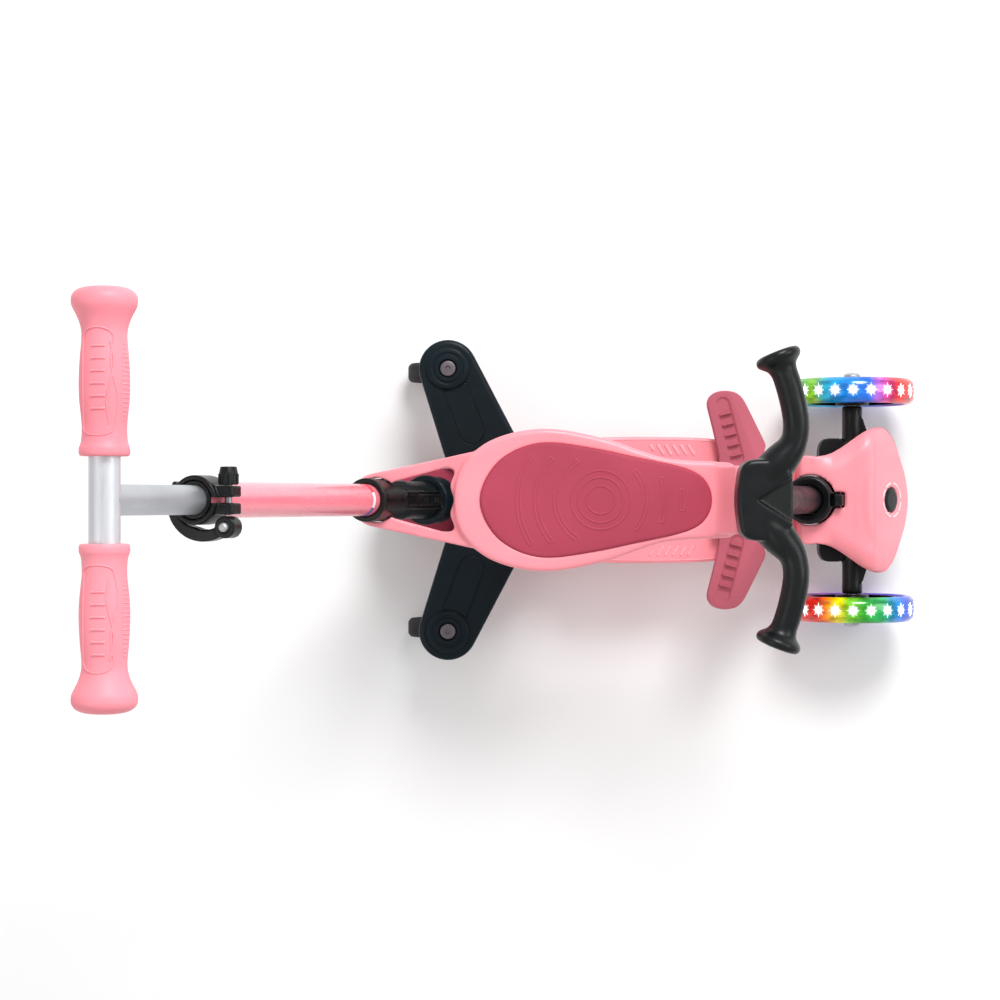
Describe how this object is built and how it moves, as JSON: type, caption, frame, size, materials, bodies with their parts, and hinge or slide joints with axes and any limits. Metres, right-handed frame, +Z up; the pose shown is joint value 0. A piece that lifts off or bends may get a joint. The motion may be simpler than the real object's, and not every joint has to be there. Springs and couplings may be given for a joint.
{
  "type": "kick scooter",
  "caption": "Toddler kick scooter in ride-on mode: lean-to-steer deck, plug-in seat, toddler handlebar, folding footrests, rear outriggers with casters and telescoping push bar.",
  "frame": {"origin": "on the ground, at the middle of the overall length and width", "axes": "+X forward, +Y to the rider's left, +Z up"},
  "size_m": [0.7036, 0.308, 0.6914],
  "materials": {
    "pink_plastic": "satin moulded plastic",
    "dark_pink_plastic": "soft matt moulded plastic",
    "grip_rubber": "soft thermoplastic rubber",
    "black_plastic": "fine grained moulded plastic",
    "post_black": "gloss black",
    "tube_pink": "gloss pink",
    "aluminium": "brushed, anodised",
    "steel": "zinc plated",
    "wheel_clear": "translucent cast wheel tyre, multicolour",
    "wheel_rubber": "matt"
  },
  "bodies": {
    "scooter_frame": {"deck": "pink_plastic", "nose_cover": "pink_plastic", "front_housing": "black_plastic", "kingpin_bolt": "steel", "front_socket_collar": "black_plastic", "front_post": "post_black", "handlebar": "black_plastic", "handlebar_pin": "steel", "seat_shell": "pink_plastic", "seat_pad": "dark_pink_plastic", "seat_pillar": "black_plastic", "footrest_mount": "dark_pink_plastic", "footrest_pin_left": "steel", "footrest_pin_right": "steel", "rear_yoke": "black_plastic", "arm_cap_left": "black_plastic", "arm_cap_right": "black_plastic", "caster_screw_left": "steel", "caster_screw_right": "steel", "rear_axle": "steel", "brake_pin": "steel"},
    "truck": {"axle_truck": "black_plastic", "return_spring_left": "wheel_rubber", "return_spring_right": "wheel_rubber", "front_axle": "steel", "axle_cap_left": "aluminium", "axle_cap_right": "aluminium"},
    "front_wheel_left": {"front_tyre_left": "wheel_clear", "front_rim_left": "black_plastic", "front_bearing_left": "steel"},
    "front_wheel_right": {"front_tyre_right": "wheel_clear", "front_rim_right": "black_plastic", "front_bearing_right": "steel"},
    "rear_wheel": {"rear_tyre": "wheel_rubber", "rear_rim": "black_plastic", "rear_bearing": "steel"},
    "brake": {"brake_fender": "dark_pink_plastic"},
    "caster_left": {"caster_fork_left": "black_plastic", "caster_axle_left": "steel"},
    "caster_roller_left": {"caster_wheel_left": "wheel_rubber"},
    "caster_right": {"caster_fork_right": "black_plastic", "caster_axle_right": "steel"},
    "caster_roller_right": {"caster_wheel_right": "wheel_rubber"},
    "push_bar": {"bar_foot": "black_plastic", "outer_tube": "tube_pink", "reducer_bush": "black_plastic", "clamp_collar": "black_plastic", "lever_pin": "aluminium", "clamp_bolt": "steel"},
    "bar_top": {"bar_stem": "aluminium", "crossbar": "aluminium", "grip_left": "grip_rubber", "grip_right": "grip_rubber"},
    "latch": {"foot_latch": "black_plastic"},
    "lever": {"clamp_lever": "black_plastic"},
    "knob": {"clamp_knob": "black_plastic"},
    "rest_left": {"footrest_left": "dark_pink_plastic"},
    "rest_right": {"footrest_right": "dark_pink_plastic"},
    "socket_release": {"socket_release_button": "black_plastic"},
    "steering_lock": {"steering_lock_button": "black_plastic"}
  },
  "joints": [
    {"name": "truck_steer", "type": "hinge", "parent": "scooter_frame", "child": "truck", "pos_m": [0.272, 0, 0.0605], "axis": [0.6428, 0, 0.766], "range_deg": [-12, 12], "stiffness_Nm_per_rad": 12},
    {"name": "front_wheel_spin_left", "type": "hinge", "parent": "truck", "child": "front_wheel_left", "pos_m": [0.2914, 0.105, 0.0605], "axis": [0, 1, 0], "continuous": true},
    {"name": "front_wheel_spin_right", "type": "hinge", "parent": "truck", "child": "front_wheel_right", "pos_m": [0.2914, -0.105, 0.0605], "axis": [0, 1, 0], "continuous": true},
    {"name": "rear_wheel_spin", "type": "hinge", "parent": "scooter_frame", "child": "rear_wheel", "pos_m": [-0.127, 0, 0.0445], "axis": [0, 1, 0], "continuous": true},
    {"name": "brake_press", "type": "hinge", "parent": "scooter_frame", "child": "brake", "pos_m": [-0.081, 0, 0.066], "axis": [0, -1, 0], "range_deg": [0, 2.5], "stiffness_Nm_per_rad": 2, "springref_deg": -5.73},
    {"name": "caster_swivel_left", "type": "hinge", "parent": "scooter_frame", "child": "caster_left", "pos_m": [-0.102, 0.126, 0.06], "axis": [0, 0, 1], "continuous": true},
    {"name": "caster_roll_left", "type": "hinge", "parent": "caster_left", "child": "caster_roller_left", "pos_m": [-0.118, 0.126, 0.025], "axis": [0, 1, 0], "continuous": true},
    {"name": "caster_swivel_right", "type": "hinge", "parent": "scooter_frame", "child": "caster_right", "pos_m": [-0.102, -0.126, 0.06], "axis": [0, 0, 1], "continuous": true},
    {"name": "caster_roll_right", "type": "hinge", "parent": "caster_right", "child": "caster_roller_right", "pos_m": [-0.118, -0.126, 0.025], "axis": [0, 1, 0], "continuous": true},
    {"name": "push_bar_lift", "type": "slide", "parent": "scooter_frame", "child": "push_bar", "axis": [-0.3579, 0, 0.9338], "range_m": [0, 0.11]},
    {"name": "bar_height", "type": "slide", "parent": "push_bar", "child": "bar_top", "axis": [-0.3579, 0, 0.9338], "range_m": [-0.1, 0.05]},
    {"name": "latch_press", "type": "slide", "parent": "push_bar", "child": "latch", "axis": [-0.9338, 0, -0.3579], "range_m": [0, 0.003], "stiffness_N_per_m": 400, "springref_m": -0.003},
    {"name": "lever_open", "type": "hinge", "parent": "push_bar", "child": "lever", "pos_m": [-0.25698, -0.0205, 0.54555], "axis": [-0.3579, 0, 0.9338], "range_deg": [0, 120]},
    {"name": "knob_turn", "type": "hinge", "parent": "push_bar", "child": "knob", "pos_m": [-0.25698, 0.018, 0.54555], "axis": [0, 1, 0], "continuous": true},
    {"name": "footrest_fold_left", "type": "hinge", "parent": "scooter_frame", "child": "rest_left", "pos_m": [0.18, 0.03, 0.101], "axis": [1, 0, 0], "range_deg": [0, 75]},
    {"name": "footrest_fold_right", "type": "hinge", "parent": "scooter_frame", "child": "rest_right", "pos_m": [0.18, -0.03, 0.101], "axis": [-1, 0, 0], "range_deg": [0, 75]},
    {"name": "socket_release_press", "type": "slide", "parent": "scooter_frame", "child": "socket_release", "axis": [-0.9573, 0, -0.289], "range_m": [0, 0.003], "stiffness_N_per_m": 500, "springref_m": -0.003},
    {"name": "steering_lock_press", "type": "slide", "parent": "scooter_frame", "child": "steering_lock", "axis": [-0.766, 0, -0.6428], "range_m": [0, 0.003], "stiffness_N_per_m": 500, "springref_m": -0.003}
  ]
}
